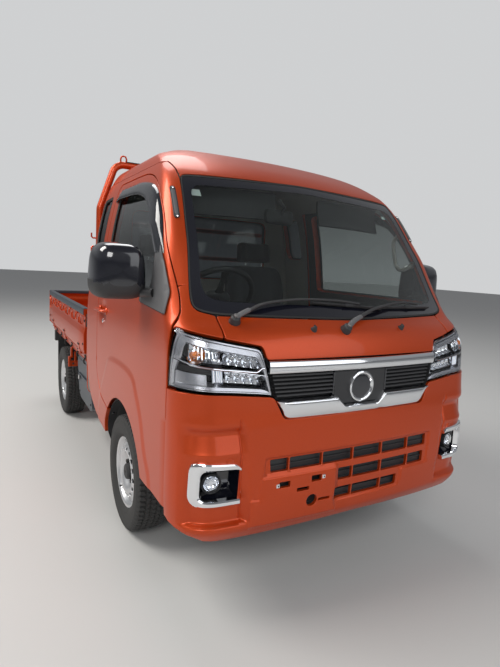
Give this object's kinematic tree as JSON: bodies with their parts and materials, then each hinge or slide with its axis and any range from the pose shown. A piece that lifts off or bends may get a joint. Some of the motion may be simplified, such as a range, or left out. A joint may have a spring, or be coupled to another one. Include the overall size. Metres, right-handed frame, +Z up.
{
  "type": "kei truck with extended cab",
  "caption": "Small flat-bed truck with a high-roof extended cab, hinged doors, drop-side bed with gates on hinges, steered front wheels and free-turning wheels.",
  "frame": {"origin": "on the ground, in the middle of the truck's length and width", "axes": "+Z up, +Y towards the tail gate, +X towards the truck's left side; the cab faces -Y"},
  "size_m": [1.85, 3.395, 1.885],
  "materials": {
    "body_paint": "metallic orange, clear coat",
    "black_paint": "satin chassis black",
    "black_plastic": "grained",
    "gloss_black": "gloss",
    "chrome": "bright",
    "glass": "tinted",
    "lamp_lens": "clear lens",
    "tail_lens": "gloss",
    "tyre": "rubber",
    "wheel_silver": "silver paint",
    "seat_fabric": "woven",
    "dash_plastic": "grained",
    "cabin_mat": "floor mat",
    "engine_metal": "cast",
    "exhaust_steel": "dull",
    "rubber": "matt"
  },
  "bodies": {
    "truck": {"windshield": "glass", "roof_panel": "body_paint", "side_frame_left": "body_paint", "side_frame_right": "body_paint", "rear_glass": "glass", "cab_rear_wall": "body_paint", "front_panel": "body_paint", "grille": "gloss_black", "headlamps": "lamp_lens", "front_bumper": "body_paint", "fog_lamps": "black_plastic", "cab_floor": "cabin_mat", "dashboard": "dash_plastic", "seats": "seat_fabric", "chassis_frame": "black_paint", "bed_floor": "body_paint", "bed_guard": "body_paint", "rear_bumper": "black_paint", "tail_lamps": "tail_lens", "mud_flaps": "rubber", "side_covers": "black_plastic", "engine": "engine_metal", "fuel_tank": "black_paint", "exhaust": "exhaust_steel", "propeller_shaft": "black_paint", "rear_axle": "black_paint", "front_suspension": "black_paint"},
    "left_door": {"door_left": "body_paint", "door_glass_left": "glass", "mirror_left": "gloss_black"},
    "right_door": {"door_right": "body_paint", "door_glass_right": "glass", "mirror_right": "gloss_black"},
    "left_gate": {"side_gate_left": "body_paint"},
    "right_gate": {"side_gate_right": "body_paint"},
    "rear_gate": {"tail_gate": "body_paint"},
    "left_knuckle": {"knuckle_left": "engine_metal"},
    "right_knuckle": {"knuckle_right": "engine_metal"},
    "steering": {"steering_wheel": "dash_plastic"},
    "front_left_wheel": {"tyre_front_left": "tyre", "rim_front_left": "wheel_silver"},
    "front_right_wheel": {"tyre_front_right": "tyre", "rim_front_right": "wheel_silver"},
    "rear_left_wheel": {"tyre_rear_left": "tyre", "rim_rear_left": "wheel_silver"},
    "rear_right_wheel": {"tyre_rear_right": "tyre", "rim_rear_right": "wheel_silver"}
  },
  "joints": [
    {"name": "left_door_hinge", "type": "hinge", "parent": "truck", "child": "left_door", "pos_m": [0.7355, -1.4975, 0.9], "axis": [0, 0, -1], "range_deg": [0, 68]},
    {"name": "right_door_hinge", "type": "hinge", "parent": "truck", "child": "right_door", "pos_m": [-0.7355, -1.4975, 0.9], "axis": [0, 0, 1], "range_deg": [0, 68]},
    {"name": "left_gate_hinge", "type": "hinge", "parent": "truck", "child": "left_gate", "pos_m": [0.728, 0.84, 0.652], "axis": [0, 1, 0], "range_deg": [0, 170]},
    {"name": "right_gate_hinge", "type": "hinge", "parent": "truck", "child": "right_gate", "pos_m": [-0.728, 0.84, 0.652], "axis": [0, -1, 0], "range_deg": [0, 170]},
    {"name": "tail_gate_hinge", "type": "hinge", "parent": "truck", "child": "rear_gate", "pos_m": [0, 1.688, 0.652], "axis": [-1, 0, 0], "range_deg": [0, 170]},
    {"name": "left_steer", "type": "hinge", "parent": "truck", "child": "left_knuckle", "pos_m": [0.548, -0.9025, 0.27], "axis": [0, 0, 1], "range_deg": [-33, 33]},
    {"name": "right_steer", "type": "hinge", "parent": "truck", "child": "right_knuckle", "pos_m": [-0.548, -0.9025, 0.27], "axis": [0, 0, 1], "range_deg": [-33, 33]},
    {"name": "steering_wheel_turn", "type": "hinge", "parent": "truck", "child": "steering", "pos_m": [-0.335, -1.0025, 1.1], "axis": [0, 0.766, 0.6428], "range_deg": [-545, 545]},
    {"name": "front_left_spin", "type": "hinge", "parent": "left_knuckle", "child": "front_left_wheel", "pos_m": [0.6525, -0.9025, 0.27], "axis": [1, 0, 0], "continuous": true},
    {"name": "front_right_spin", "type": "hinge", "parent": "right_knuckle", "child": "front_right_wheel", "pos_m": [-0.6525, -0.9025, 0.27], "axis": [1, 0, 0], "continuous": true},
    {"name": "rear_left_spin", "type": "hinge", "parent": "truck", "child": "rear_left_wheel", "pos_m": [0.65, 0.9975, 0.27], "axis": [1, 0, 0], "continuous": true},
    {"name": "rear_right_spin", "type": "hinge", "parent": "truck", "child": "rear_right_wheel", "pos_m": [-0.65, 0.9975, 0.27], "axis": [1, 0, 0], "continuous": true}
  ],
  "couplings": [
    {"joint": "right_steer", "follows": "left_steer", "ratio": 1},
    {"joint": "steering_wheel_turn", "follows": "left_steer", "ratio": 16}
  ]
}
